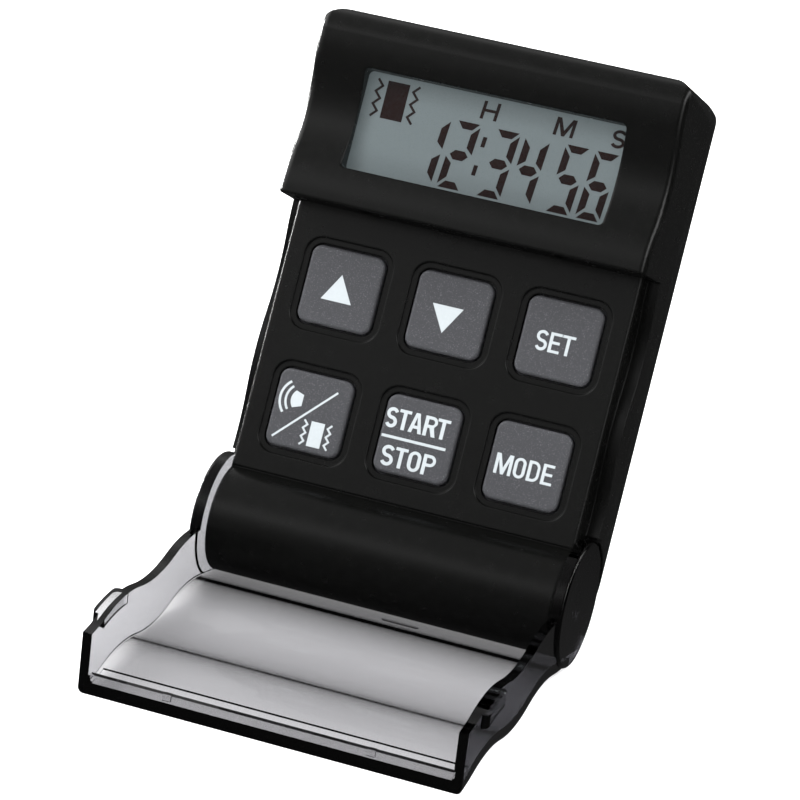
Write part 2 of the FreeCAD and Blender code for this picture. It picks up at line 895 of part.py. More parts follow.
def slab(name, width, length, height, x=0.0, y=0.0, z=0.0):
    """Box centred on x and y, standing on z, with its three sizes bound to the sheet."""
    box = bound("Part::Box", name, Length=width, Width=length, Height=height)
    box.setExpression("Placement.Base.x", f"{x} - ({width}) / 2")
    box.setExpression("Placement.Base.y", f"{y} - ({length}) / 2")
    box.setExpression("Placement.Base.z", f"{z}")
    return box


def post(name, x, y, z, radius, height):
    """Cylinder along Z."""
    return bound("Part::Cylinder", name, Placement(Vector(x, y, z), Rotation()),
                 Radius=radius, Height=height)


def bar(name, x, y, z, radius, length):
    """Cylinder along X."""
    turned = Placement(Vector(x, y, z), Rotation(Vector(0, 1, 0), 90))
    return bound("Part::Cylinder", name, turned, Radius=radius, Height=length)


def fuse(name, *parts):
    result = doc.addObject("Part::MultiFuse", name)
    result.Shapes = list(parts)
    return result


def cut(name, base, *tools):
    tool = tools[0] if len(tools) == 1 else fuse(f"{name}_tools", *tools)
    result = doc.addObject("Part::Cut", name)
    result.Base = base
    result.Tool = tool
    return result


def plane_sketch(body, name, height=0.0):
    """Sketch on the body's own XY plane, raised by height."""
    sketch = body.newObject("Sketcher::SketchObject", name)
    plane = next(f for f in body.Origin.OriginFeatures if f.Role == "XY_Plane")
    sketch.AttachmentSupport = [(plane, "")]
    sketch.MapMode = "FlatFace"
    sketch.AttachmentOffset = Placement(Vector(0, 0, height), Rotation())
    return sketch


def centred_rectangle(sketch, width, length):
    """Rectangle centred on the sketch's origin, with both sides bound to the sheet."""
    corners = [Vector(-5, -5, 0), Vector(5, -5, 0), Vector(5, 5, 0), Vector(-5, 5, 0)]
    for a, b in zip(corners, corners[1:] + corners[:1]):
        sketch.addGeometry(Part.LineSegment(a, b), False)
    for side in range(4):
        sketch.addConstraint(Sketcher.Constraint("Coincident", side, 2, (side + 1) % 4, 1))
        direction = "Horizontal" if side % 2 == 0 else "Vertical"
        sketch.addConstraint(Sketcher.Constraint(direction, side))
    sketch.addConstraint(Sketcher.Constraint("Symmetric", 0, 1, 2, 1, -1, 1))
    across = sketch.addConstraint(Sketcher.Constraint("DistanceX", 0, 1, 0, 2, 10.0))
    along = sketch.addConstraint(Sketcher.Constraint("DistanceY", 1, 1, 1, 2, 10.0))
    sketch.setExpression(f"Constraints[{across}]", width)
    sketch.setExpression(f"Constraints[{along}]", length)


def pad(body, name, sketch, length):
    feature = body.newObject("PartDesign::Pad", name)
    feature.Profile = sketch
    feature.setExpression("Length", length)
    doc.recompute()
    return feature


def round_edges(body, name, feature, wanted, radius):
    """Fillet on the edges of feature that wanted() picks."""
    names = [f"Edge{n}" for n, edge in enumerate(feature.Shape.Edges, start=1) if wanted(edge)]
    fillet = body.newObject("PartDesign::Fillet", name)
    fillet.Base = (feature, names)
    fillet.setExpression("Radius", radius)
    doc.recompute()
    return fillet


# ------------------------------------------------------------------ keys

def key_flange_level():
    """Underside of a key's flange at rest, just behind the keypad plate."""
    plate_back = size("plate_level") - size("wall")
    return plate_back - size("key_rest_gap") - size("key_flange")


def key(name, x, y):
    """Moulded keycap: a flange that stays behind the plate and a cap with softened edges."""
    body = doc.addObject("PartDesign::Body", name)
    flange_sketch = plane_sketch(body, f"{name}_flange_outline")
    centred_rectangle(flange_sketch, "Sizes.key_width + 2 * Sizes.key_flange_reach",
                      "Sizes.key_length + 2 * Sizes.key_flange_reach")
    pad(body, f"{name}_flange", flange_sketch, "Sizes.key_flange")
    cap_sketch = plane_sketch(body, f"{name}_cap_outline")
    centred_rectangle(cap_sketch, "Sizes.key_width", "Sizes.key_length")
    cap = pad(body, f"{name}_cap", cap_sketch,
              "Sizes.key_flange + Sizes.key_rest_gap + Sizes.wall + Sizes.key_proud")
    top = cap.Shape.BoundBox.ZMax

    def is_cap_corner(edge):
        return is_along(edge, Vector(0, 0, 1)) and edge.BoundBox.ZMax > top - 1e-3

    def is_cap_top(edge):
        return edge.BoundBox.ZMin > top - 1e-3

    corners = round_edges(body, f"{name}_corners", cap, is_cap_corner, "Sizes.key_round")
    round_edges(body, f"{name}_top", corners, is_cap_top, "Sizes.key_edge_round")
    keep(body, name, CASE * Placement(Vector(x, y, key_flange_level()), Rotation()))


def dome_mat():
    """Rubber mat on the board with a hollow-footed dome under every key."""
    level = size("board_front")
    sheet_part = slab("mat_sheet", "2 * Sizes.board_half - 1.4",
                      "2 * Sizes.key_row_pitch - 5.4", "Sizes.mat_sheet",
                      y=28.9, z=level)
    domes = []
    dimples = []
    for number, (x, y) in enumerate(key_places()):
        place = Placement(Vector(x, y, level + size("mat_sheet")), Rotation())
        dome = bound("Part::Cone", f"dome_{number}", place, Height="Sizes.dome_height")
        dome.Radius1 = 4.0
        dome.Radius2 = 2.8
        domes.append(dome)
        foot = Placement(Vector(x, y, level), Rotation())
        dimple = bound("Part::Cone", f"dimple_{number}", foot, Height="Sizes.dome_height")
        dimple.Radius1 = 3.2
        dimple.Radius2 = 2.0
        dimples.append(dimple)
    holes = [post(f"mat_hole_{n}", x, y, level - 1, "2.1", "3")
             for n, (x, y) in enumerate(BOARD_SCREW_PLACES[:2])]
    holes += [post(f"mat_notch_{n}", x, y, level - 1, "Sizes.boss_radius + 0.2", "3")
              for n, (x, y) in enumerate(case_screw_places()) if y < size("hood_start")]
    mat = cut("dome_mat", fuse("mat_form", sheet_part, *domes), *dimples, *holes)
    keep(mat, "dome_mat", CASE)


# ------------------------------------------------------------------ display

def display_window():
    lens = slab("lens_block", "Sizes.lens_width", "Sizes.lens_length", "Sizes.lens_thickness",
                y="Sizes.window_centre", z="Sizes.lens_front - Sizes.lens_thickness")
    corner = doc.addObject("Part::Fillet", "display_window")
    corner.Base = lens
    doc.recompute()
    upright = [n for n, e in enumerate(lens.Shape.Edges, start=1) if is_along(e, Vector(0, 0, 1))]
    corner.Edges = [(n, 0.8, 0.8) for n in upright]
    keep(corner, "display_window", CASE)


def lcd_panel():
    """Two glass plates; the front one stops short to leave the contact ledge bare."""
    back_level = "Sizes.glass_front - Sizes.glass_thickness"
    rear = slab("rear_glass", "Sizes.glass_width", "Sizes.glass_length",
                "Sizes.glass_thickness / 2", y="Sizes.window_centre", z=back_level)
    front = slab("front_glass", "Sizes.glass_width", "Sizes.glass_length - 1.2",
                 "Sizes.glass_thickness / 2", y="Sizes.window_centre + 0.6",
                 z="Sizes.glass_front - Sizes.glass_thickness / 2")
    keep(fuse("lcd_panel", rear, front), "lcd_panel", CASE)


def lcd_frame():
    """White holder that carries the glass in front of the board."""
    pocket_level = size("glass_front") - size("glass_thickness")
    outer = slab("holder_form", "Sizes.glass_width + 2.1", "Sizes.glass_length + 2.1",
                 "Sizes.glass_front - Sizes.board_front", y="Sizes.window_centre",
                 z="Sizes.board_front")
    pocket = slab("holder_pocket", "Sizes.glass_width + 0.3", "Sizes.glass_length + 0.3", "5",
                  y="Sizes.window_centre", z=pocket_level)
    under = slab("holder_hollow", "Sizes.glass_width - 0.2", "Sizes.glass_length - 0.2",
                 f"{pocket_level - 1.0} - Sizes.board_front + 1", y="Sizes.window_centre",
                 z="Sizes.board_front - 1")
    slot = slab("holder_slot", "Sizes.window_width + 0.2", "1.9", "5",
                y=zebra_row(), z=pocket_level - 2)
    keep(cut("lcd_frame", outer, pocket, under, slot), "lcd_frame", CASE)


def zebra_row():
    return size("window_centre") - size("glass_length") / 2 + 1.7


def zebra_connector():
    """Striped elastomer strip that joins the glass to the board."""
    place = Placement(Vector(-size("window_width") / 2, zebra_row() - 0.8, size("board_front")),
                      Rotation())
    strip = bound("Part::Box", "zebra_connector", Length="Sizes.window_width", Width="1.6",
                  Height="Sizes.glass_front - Sizes.glass_thickness - Sizes.board_front")
    keep(strip, "zebra_connector", CASE * place)


# ------------------------------------------------------------------ board

def board_back():
    return size("board_front") - size("board_thickness")


def main_board():
    board = slab("board_form", "2 * Sizes.board_half", "Sizes.board_end - Sizes.board_start",
                 "Sizes.board_thickness", y="(Sizes.board_end + Sizes.board_start) / 2",
                 z="Sizes.board_front - Sizes.board_thickness")
    level = board_back() - 1
    notches = [post(f"board_notch_{n}", x, y, level, "Sizes.boss_radius + 0.3", "4")
               for n, (x, y) in enumerate(case_screw_places())]
    holes = [post(f"board_hole_{n}", x, y, level, "0.95", "4")
             for n, (x, y) in enumerate(BOARD_SCREW_PLACES)]
    keep(cut("main_board", board, *notches, *holes), "main_board", CASE)


def board_parts():
    """Sealed driver chip, clock crystal and two capacitors on the back of the board."""
    level = board_back()
    seal_height = 1.2
    seal = bound("Part::Cone", "driver_chip")
    seal.Radius1 = 3.6
    seal.Radius2 = 5.0
    seal.Height = seal_height
    keep(seal, "driver_chip", CASE * Placement(Vector(-14, 38, level - seal_height), Rotation()))
    can = bound("Part::Cylinder", "quartz_crystal", Radius="1.0", Height="6")
    can_turn = Rotation(Vector(0, 1, 0), 90)
    keep(can, "quartz_crystal", CASE * Placement(Vector(1, 34, level - 1.0), can_turn))
    group = fuse("capacitors", *[
        bound("Part::Box", f"capacitor_{n}", Placement(Vector(x, y, level - 1.1), Rotation()),
              Length="3.2", Width="1.6", Height="1.1")
        for n, (x, y) in enumerate([(-2, 40), (3, 40), (-2, 44), (3, 44)])])
    keep(group, "capacitors", CASE)


# ------------------------------------------------------------------ power

def battery_cell():
    """Single cylindrical cell with its contact nub towards the right."""
    right_end = size("barrel_half") - size("wall") - 0.55
    nub = 1.0
    can_start = right_end - size("cell_length")
    can = bar("cell_can", can_start, 0, 0, "Sizes.cell_radius", f"Sizes.cell_length - {nub}")
    tip = bar("cell_nub", right_end - nub - 0.1, 0, 0, "2.7", f"{nub} + 0.1")
    keep(fuse("battery_cell", can, tip), "battery_cell", CASE)


def battery_contacts():
    """Sprung steel plates at both ends of the battery barrel."""
    end = size("barrel_half") - size("wall") - 0.1
    thickness = 0.4
    for name, x in (("positive_contact", end - thickness), ("negative_contact", -end)):
        plate = bound("Part::Box", name, Length=str(thickness), Width="12.4", Height="6.0")
        keep(plate, name, CASE * Placement(Vector(x, -4.0, -4.0), Rotation()))


def battery_spring():
    """Cone-shaped coil between the negative contact and the cell's flat end."""
    wire_radius = 0.28
    clearance = 0.03
    small_end = 2.2
    large_end = 5.0
    turns = 2.25
    steps = 27
    plate_face = -(size("barrel_half") - size("wall") - 0.1) + 0.4
    cell_face = size("barrel_half") - size("wall") - 0.55 - size("cell_length")
    start = cell_face - wire_radius - clearance
    rise = start - (plate_face + wire_radius + clearance)
    points = []
    for step in range(steps + 1):
        share = step / steps
        turn = 2 * math.pi * turns * share
        radius = small_end + (large_end - small_end) * share
        points.append((start - rise * share, radius * math.cos(turn), radius * math.sin(turn)))
    add_shape("battery_spring", round_wire(points, wire_radius), CASE)


# ------------------------------------------------------------------ alarm

def motor():
    """Pager-style motor in a rubber boot, with a half-round weight on its shaft."""
    row = size("motor_row")
    level = motor_level()
    start = 6.0
    can_end = start + size("motor_length")
    shaft_radius = 0.5
    can = bar("motor_can", start, row, level, "Sizes.motor_radius", "Sizes.motor_length")
    bearing = bar("motor_bearing", can_end - 6, row, level, f"{shaft_radius} + 0.03", "7")
    keep(cut("vibration_motor", can, bearing), "vibration_motor", CASE)
    sleeve = bar("boot_form", start + 0.5, row, level, str(motor_boot_radius()),
                 "Sizes.motor_length - 1")
    bore = bar("boot_bore", start, row, level, "Sizes.motor_radius", "Sizes.motor_length")
    keep(cut("motor_boot", sleeve, bore), "motor_boot", CASE)
    shaft_start = Placement(Vector(can_end - 5.9, row, level), Rotation(Vector(0, 1, 0), 90))
    shaft = bound("Part::Cylinder", "motor_shaft", Radius=str(shaft_radius), Height="11.5")
    keep(shaft, "motor_shaft", CASE * shaft_start)
    weight_start = can_end + 1.2
    half_disc = bar("weight_form", weight_start, row, level, "Sizes.weight_radius", "4")
    half_disc.Angle = 180
    hub = bar("weight_hub", weight_start, row, level, "1.2", "4")
    eye = bar("weight_eye", weight_start - 1, row, level, str(shaft_radius), "6")
    keep(cut("eccentric_weight", fuse("weight_body", half_disc, hub), eye), "eccentric_weight",
         CASE)


def buzzer():
    """Piezo sounder: a ceramic disc on a brass plate over a ring in the rear shell."""
    x, y = size("buzzer_column"), size("buzzer_row")
    seat = size("back_level") + size("wall") + 0.8
    plate = bound("Part::Cylinder", "buzzer_plate", Radius="Sizes.buzzer_radius", Height="0.25")
    keep(plate, "buzzer_plate", CASE * Placement(Vector(x, y, seat), Rotation()))
    ceramic = bound("Part::Cylinder", "buzzer_ceramic", Radius="Sizes.buzzer_radius - 2.5",
                    Height="0.25")
    keep(ceramic, "buzzer_ceramic", CASE * Placement(Vector(x, y, seat + 0.25), Rotation()))


# ------------------------------------------------------------------ leads

def leads():
    """Pairs of wires from the battery contacts, the motor and the buzzer to the board."""
    under = board_back() - 0.32
    edge = size("barrel_half") - size("wall") - 0.1 - 0.4 - 0.38
    radius = 0.3
    battery = [round_wire([(side * edge, 5.0, -3.4), (side * edge, 8.5, -3.8),
                           (side * (edge - 0.6), 13.5, under)], radius) for side in (-1, 1)]
    row = size("motor_row")
    level = motor_level()
    motor_pair = [round_wire([(5.6, row + dy, level), (4.4, row + 1.5 * dy, level + 1.2),
                              (3.4, row + 2.5 * dy, under)], radius) for dy in (-1.2, 1.2)]
    x, y = size("buzzer_column"), size("buzzer_row")
    disc_front = size("back_level") + size("wall") + 0.8 + 0.5 + 0.35
    buzzer_pair = [round_wire([(x + dx, y - 3, disc_front), (x + dx, y - 6, disc_front + 2.0),
                               (x + 1.6 * dx, y - 9, under)], radius) for dx in (-1.5, 1.5)]
    for name, wires in (("battery_leads", battery), ("motor_leads", motor_pair),
                        ("buzzer_leads", buzzer_pair)):
        add_shape(name, Part.makeCompound(wires), CASE)


# ------------------------------------------------------------------ screws

def screw(x, y, head_from, head_height, head_radius, shank_radius, length):
    """Pan-head screw pointing to the front, with a cross recess in its head."""
    head = rod(x, y, head_from, head_from + head_height, head_radius)
    rim = [e for e in head.Edges if e.Closed and abs(e.CenterOfMass.z - head_from) < 1e-6]
    head = head.makeFillet(head_height * 0.4, rim[:1])
    seat = head_from + head_height
    shank = rod(x, y, seat - 0.1, seat + length, shank_radius)
    arm = head_radius * 0.55
    slot = 0.22
    depth = head_from + head_height * 0.55
    recess = [block(x - arm, x + arm, y - slot, y + slot, head_from - 1, depth),
              block(x - slot, x + slot, y - arm, y + arm, head_from - 1, depth)]
    return head.fuse(shank).cut(recess).removeSplitter()


def screws():
    seat = size("back_level") + size("wall")
    case_set = [screw(x, y, seat - size("screw_head"), size("screw_head"),
                      size("screw_head_radius"), size("screw_radius"), 9.0)
                for x, y in case_screw_places()]
    add_shape("case_screws", Part.makeCompound(case_set), CASE)
    board_head = 0.8
    board_set = [screw(x, y, board_back() - board_head, board_head, 1.6, 0.8, 3.4)
                 for x, y in BOARD_SCREW_PLACES]
    add_shape("board_screws", Part.makeCompound(board_set), CASE)


# ------------------------------------------------------------------ the whole timer

def export():
    """Checks every object and writes each sub-part's STEP file."""
    doc.recompute()
    for item in doc.Objects:
        if "Invalid" in item.State or "Error" in item.State:
            raise RuntimeError(f"{item.Name} failed: {item.State}")
    for piece in pieces:
        if piece.Shape.isNull() or not piece.Shape.isValid() or piece.Shape.Volume <= 0:
            raise RuntimeError(f"{piece.Label} has no valid solid")
    os.makedirs("parts", exist_ok=True)
    for piece in pieces:
        piece.Shape.exportStep(f"parts/{piece.Label}.step")


front_shell()
rear_shell()
battery_door()
flip_cover()
KEY_NAMES = ["key_up", "key_down", "key_set", "key_alarm", "key_start", "key_mode"]
for key_name, (column, row) in zip(KEY_NAMES, key_places()):
    key(key_name, column, row)
dome_mat()
display_window()
lcd_panel()
lcd_frame()
zebra_connector()
main_board()
board_parts()
battery_cell()
battery_contacts()
battery_spring()
motor()
buzzer()
leads()
screws()
export()
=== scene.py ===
import json
import math

import bpy
from mathutils import Matrix, Vector


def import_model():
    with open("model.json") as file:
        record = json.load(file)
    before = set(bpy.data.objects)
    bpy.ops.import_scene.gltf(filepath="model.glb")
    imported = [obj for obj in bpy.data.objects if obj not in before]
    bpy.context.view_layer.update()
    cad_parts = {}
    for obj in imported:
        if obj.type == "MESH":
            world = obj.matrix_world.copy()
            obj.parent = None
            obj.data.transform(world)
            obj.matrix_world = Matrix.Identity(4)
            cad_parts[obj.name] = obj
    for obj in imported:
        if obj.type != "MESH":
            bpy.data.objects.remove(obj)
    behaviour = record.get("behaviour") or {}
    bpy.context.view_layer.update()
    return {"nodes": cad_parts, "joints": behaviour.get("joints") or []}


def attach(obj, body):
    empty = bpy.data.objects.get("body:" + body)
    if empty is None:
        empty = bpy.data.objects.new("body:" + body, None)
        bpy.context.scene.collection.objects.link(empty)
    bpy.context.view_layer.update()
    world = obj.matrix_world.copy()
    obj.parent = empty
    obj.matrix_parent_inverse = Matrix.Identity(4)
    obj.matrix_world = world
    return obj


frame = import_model()

MM = 0.001
joints = {joint["name"]: joint for joint in frame["joints"]}

# ------------------------------------------------------------------ frames on the object

# The case frame has its origin on the cover's hinge, X to the right, Y up the case and Z out of
# the keypad.  Sizes and places on the case are in millimetres in this frame.
HINGE = Vector(joints["cover_hinge"]["pos_m"])
RIGHT = Vector((1, 0, 0))
OUTWARD = -Vector(joints["key_up_press"]["axis"]).normalized()
UPWARD = OUTWARD.cross(RIGHT)


def frame_matrix(origin, x, y, z):
    """Placement with the given origin and axes."""
    return Matrix.Translation(origin) @ Matrix((x, y, z)).transposed().to_4x4()


CASE = frame_matrix(HINGE, RIGHT, UPWARD, OUTWARD)

KEY_TOP = 3.9
GLASS_FRONT = 5.1
KEY_PLACES = {
    "key_up": (-18.0, 38.6),
    "key_down": (0.0, 38.6),
    "key_set": (18.0, 38.6),
    "key_alarm": (-18.0, 18.7),
    "key_start": (0.0, 18.7),
    "key_mode": (18.0, 18.7),
}


# ------------------------------------------------------------------ materials

def node_material(name):
    """An empty node material: (material, nodes, links, principled shader)."""
    material = bpy.data.materials.new(name)
    material.use_nodes = True
    tree = material.node_tree
    return material, tree.nodes, tree.links, tree.nodes["Principled BSDF"]


def object_noise(nodes, links, size_mm, detail=2.0):
    """Noise fixed to the object, with features of about the given size."""
    place = nodes.new("ShaderNodeTexCoord")
    noise = nodes.new("ShaderNodeTexNoise")
    noise.inputs["Scale"].default_value = 1.0 / (size_mm * MM)
    noise.inputs["Detail"].default_value = detail
    links.new(place.outputs["Object"], noise.inputs["Vector"])
    return noise.outputs["Fac"]


def spread(nodes, links, value, low, high, from_low=0.3, from_high=0.7):
    """Maps a noise value onto a range."""
    scale = nodes.new("ShaderNodeMapRange")
    scale.inputs["From Min"].default_value = from_low
    scale.inputs["From Max"].default_value = from_high
    scale.inputs["To Min"].default_value = low
    scale.inputs["To Max"].default_value = high
    links.new(value, scale.inputs["Value"])
    return scale.outputs["Result"]


def mixed_color(nodes, links, share, first, second):
    """Blend of two colours by a share."""
    mix = nodes.new("ShaderNodeMix")
    mix.data_type = "RGBA"
    links.new(share, mix.inputs["Factor"])
    mix.inputs[6].default_value = (*first, 1)
    mix.inputs[7].default_value = (*second, 1)
    return mix.outputs[2]


def surface(name, color, roughness, metallic=0.0, grain_mm=0.5, bump_mm=0.002, tone=0.1,
            painted_glow=0.0, edge_mm=0.0):
    """Plain finish whose roughness, tone and height vary slightly with noise, and which can glow
    with painted light.
    """
    material, nodes, links, shader = node_material(name)
    shader.inputs["Metallic"].default_value = metallic
    noise = object_noise(nodes, links, grain_mm)
    vary = 0.15
    low, high = roughness * (1 - vary), roughness * (1 + vary)
    links.new(spread(nodes, links, noise, low, high), shader.inputs["Roughness"])
    darker = tuple(c * (1 - tone) for c in color)
    mixed = mixed_color(nodes, links, spread(nodes, links, noise, 0, 1), darker, color)
    links.new(mixed, shader.inputs["Base Color"])
    # painted light: the finish glows in its own colour, though it is no lamp
    if painted_glow:
        links.new(mixed, shader.inputs["Emission Color"])
        shader.inputs["Emission Strength"].default_value = painted_glow
    bump = nodes.new("ShaderNodeBump")
    bump.inputs["Distance"].default_value = bump_mm * MM
    links.new(noise, bump.inputs["Height"])
    links.new(bump.outputs["Normal"], shader.inputs["Normal"])
    if edge_mm:
        softened = nodes.new("ShaderNodeBevel")
        softened.samples = 4
        softened.inputs["Radius"].default_value = edge_mm * MM
        links.new(softened.outputs["Normal"], bump.inputs["Normal"])
    return material


def key_finish():
    """Satin grey plastic with fine metal flakes."""
    material, nodes, links, shader = node_material("key_grey")
    flakes = object_noise(nodes, links, 0.16, detail=1.0)
    share = spread(nodes, links, flakes, 0, 1, 0.60, 0.74)
    links.new(mixed_color(nodes, links, share, (0.047, 0.048, 0.053), (0.135, 0.135, 0.148)),
              shader.inputs["Base Color"])
    links.new(spread(nodes, links, flakes, 0.50, 0.38, 0.5, 0.75), shader.inputs["Roughness"])
    bump = nodes.new("ShaderNodeBump")
    bump.inputs["Distance"].default_value = 0.003 * MM
    links.new(flakes, bump.inputs["Height"])
    links.new(bump.outputs["Normal"], shader.inputs["Normal"])
    return material


def above(nodes, links, value, level):
    """One where a value's size is above a level, nothing elsewhere."""
    size = nodes.new("ShaderNodeMath")
    size.operation = "ABSOLUTE"
    links.new(value, size.inputs[0])
    step = nodes.new("ShaderNodeMath")
    step.operation = "GREATER_THAN"
    step.inputs[1].default_value = level
    links.new(size.outputs["Value"], step.inputs[0])
    return step.outputs["Value"]


def product(nodes, links, first, second):
    """One value times another."""
    made = nodes.new("ShaderNodeMath")
    made.operation = "MULTIPLY"
    links.new(first, made.inputs[0])
    links.new(second, made.inputs[1])
    return made.outputs["Value"]


def side_shares(nodes, links):
    """Shares of the cover's side faces, and of the outermost of them seen from outside, which get
    painted shade.
    """
    sideways_normal = 0.7
    outermost = 29.5 * MM
    geometry = nodes.new("ShaderNodeNewGeometry")
    columns = []
    for output in ("Position", "True Normal"):
        split = nodes.new("ShaderNodeSeparateXYZ")
        links.new(geometry.outputs[output], split.inputs["Vector"])
        columns.append(split.outputs["X"])
    sideways = above(nodes, links, columns[1], sideways_normal)
    outside = product(nodes, links, sideways, above(nodes, links, columns[0], outermost))
    front = nodes.new("ShaderNodeMath")
    front.operation = "SUBTRACT"
    front.inputs[0].default_value = 1.0
    links.new(geometry.outputs["Backfacing"], front.inputs[1])
    return sideways, product(nodes, links, outside, front.outputs["Value"])


def cover_finish():
    """Smoky clear moulding: refracts and darkens with depth; shade is painted onto its side faces,
    darkest on the outermost ones seen from outside.
    """
    density = 720.0
    depth_tint = (0.500, 0.497, 0.508)
    side_painted_shade = (0.74, 0.74, 0.76)
    outer_painted_shade = (0.26, 0.26, 0.30)
    shadow_tint = (0.86, 0.86, 0.87)
    material, nodes, links, shader = node_material("clear_cover")
    output = nodes["Material Output"]
    shader.inputs["Transmission Weight"].default_value = 1.0
    shader.inputs["IOR"].default_value = 1.5
    sideways, outside = side_shares(nodes, links)
    # painted shade: side faces get a darker base colour, and the outermost ones seen from outside
    # a darker one still
    painted_shade_mix = nodes.new("ShaderNodeMix")
    painted_shade_mix.data_type = "RGBA"
    links.new(outside, painted_shade_mix.inputs["Factor"])
    links.new(mixed_color(nodes, links, sideways, (1, 1, 1), side_painted_shade), painted_shade_mix.inputs[6])
    painted_shade_mix.inputs[7].default_value = (*outer_painted_shade, 1)
    links.new(painted_shade_mix.outputs[2], shader.inputs["Base Color"])
    noise = object_noise(nodes, links, 3.0)
    links.new(spread(nodes, links, noise, 0.012, 0.028), shader.inputs["Roughness"])

    # shadows and light that bounces off the table pass straight through
    through = nodes.new("ShaderNodeBsdfTransparent")
    through.inputs["Color"].default_value = (*shadow_tint, 1)
    path = nodes.new("ShaderNodeLightPath")
    either = nodes.new("ShaderNodeMath")
    either.operation = "MAXIMUM"
    links.new(path.outputs["Is Shadow Ray"], either.inputs[0])
    links.new(path.outputs["Is Diffuse Ray"], either.inputs[1])
    mix = nodes.new("ShaderNodeMixShader")
    links.new(either.outputs["Value"], mix.inputs["Fac"])
    links.new(shader.outputs["BSDF"], mix.inputs[1])
    links.new(through.outputs["BSDF"], mix.inputs[2])
    links.new(mix.outputs["Shader"], output.inputs["Surface"])
    volume = nodes.new("ShaderNodeVolumeAbsorption")
    volume.inputs["Color"].default_value = (*depth_tint, 1)
    volume.inputs["Density"].default_value = density
    links.new(volume.outputs["Volume"], output.inputs["Volume"])
    return material


def pane_finish():
    """Thin clear pane: reflects at its faces and lets the rest through unbent."""
    material, nodes, links, shader = node_material("clear_window")
    nodes.remove(shader)
    output = nodes["Material Output"]
    through = nodes.new("ShaderNodeBsdfTransparent")
    through.inputs["Color"].default_value = (0.97, 0.975, 0.98, 1)
    gloss = nodes.new("ShaderNodeBsdfGlossy")
    noise = object_noise(nodes, links, 4.0)
    links.new(spread(nodes, links, noise, 0.02, 0.05), gloss.inputs["Roughness"])
    fresnel = nodes.new("ShaderNodeFresnel")
    fresnel.inputs["IOR"].default_value = 1.3
    mix = nodes.new("ShaderNodeMixShader")
    links.new(fresnel.outputs["Fac"], mix.inputs["Fac"])
    links.new(through.outputs["BSDF"], mix.inputs[1])
    links.new(gloss.outputs["BSDF"], mix.inputs[2])
    links.new(mix.outputs["Shader"], output.inputs["Surface"])
    return material


# Every finish by name: colour, roughness and what differs from the plain case.
FINISHES = {
    "black_gloss": surface("black_gloss", (0.0020, 0.0021, 0.0019), 0.24, grain_mm=1.6,
                           bump_mm=0.0003, edge_mm=0.3),
    "clear_cover": cover_finish(),
    "clear_window": pane_finish(),
    # the display glass glows with painted light, so its shaded edges read as bright as its middle
    "display_glass": surface("display_glass", (0.165, 0.195, 0.20), 0.30, grain_mm=0.12,
                             tone=0.05, bump_mm=0.0005, painted_glow=0.42),
    "key_grey": key_finish(),
    "white_plastic": surface("white_plastic", (0.72, 0.72, 0.70), 0.45),
    "elastomer": surface("elastomer", (0.10, 0.10, 0.11), 0.7),
    "board_green": surface("board_green", (0.012, 0.10, 0.035), 0.35, grain_mm=1.2, tone=0.3),
    "grey_rubber": surface("grey_rubber", (0.22, 0.22, 0.23), 0.75, bump_mm=0.01),
    "chip_seal": surface("chip_seal", (0.012, 0.012, 0.013), 0.32),
    "capacitor_body": surface("capacitor_body", (0.35, 0.22, 0.12), 0.5),
    "nickel": surface("nickel", (0.62, 0.60, 0.56), 0.28, metallic=1.0),
    "steel": surface("steel", (0.55, 0.56, 0.58), 0.25, metallic=1.0),
    "brass": surface("brass", (0.72, 0.52, 0.22), 0.3, metallic=1.0),
    "white_ceramic": surface("white_ceramic", (0.78, 0.77, 0.72), 0.5),
    "cell_wrap": surface("cell_wrap", (0.05, 0.07, 0.16), 0.3, grain_mm=2.0),
    "black_rubber": surface("black_rubber", (0.015, 0.015, 0.015), 0.8, bump_mm=0.01),
    "lead_red": surface("lead_red", (0.45, 0.02, 0.02), 0.4),
    "legend_white": surface("legend_white", (0.46, 0.50, 0.52), 0.5, tone=0.04),
    "display_ink": surface("display_ink", (0.022, 0.006, 0.005), 0.9, tone=0.3),
}

# Which of the frame's nodes wears which finish.
SLOTS = {
    "black_gloss": ["front_shell", "rear_shell", "battery_door"],
    "clear_cover": ["flip_cover"],
    "clear_window": ["display_window"],
    "display_glass": ["lcd_panel"],
    "key_grey": list(KEY_PLACES),
    "white_plastic": ["lcd_frame"],
    "elastomer": ["zebra_connector"],
    "board_green": ["main_board"],
    "grey_rubber": ["dome_mat"],
    "chip_seal": ["driver_chip"],
    "capacitor_body": ["capacitors"],
    "nickel": ["positive_contact", "negative_contact", "vibration_motor", "quartz_crystal"],
    "steel": ["battery_spring", "motor_shaft", "eccentric_weight", "case_screws",
              "board_screws"],
    "brass": ["buzzer_plate"],
    "white_ceramic": ["buzzer_ceramic"],
    "cell_wrap": ["battery_cell"],
    "black_rubber": ["motor_boot"],
    "lead_red": ["battery_leads", "motor_leads", "buzzer_leads"],
}

for slot, members in SLOTS.items():
    for member in members:
        mesh = frame["nodes"][member].data
        mesh.materials.clear()
        mesh.materials.append(FINISHES[slot])


# ------------------------------------------------------------------ thin prints

def piece(name, data, place, body, finish):
    """A solid from a curve, set in place and riding on a body."""
    source = bpy.data.objects.new("source", data)
    bpy.context.scene.collection.objects.link(source)
    bpy.context.view_layer.update()
    depsgraph = bpy.context.evaluated_depsgraph_get()
    mesh = bpy.data.meshes.new_from_object(source.evaluated_get(depsgraph))
    bpy.data.objects.remove(source)
    mesh.transform(place)
    mesh.materials.clear()
    mesh.materials.append(FINISHES[finish])
    mesh.name = name
    made = bpy.data.objects.new(name, mesh)
    bpy.context.scene.collection.objects.link(made)
    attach(made, body)
    return made


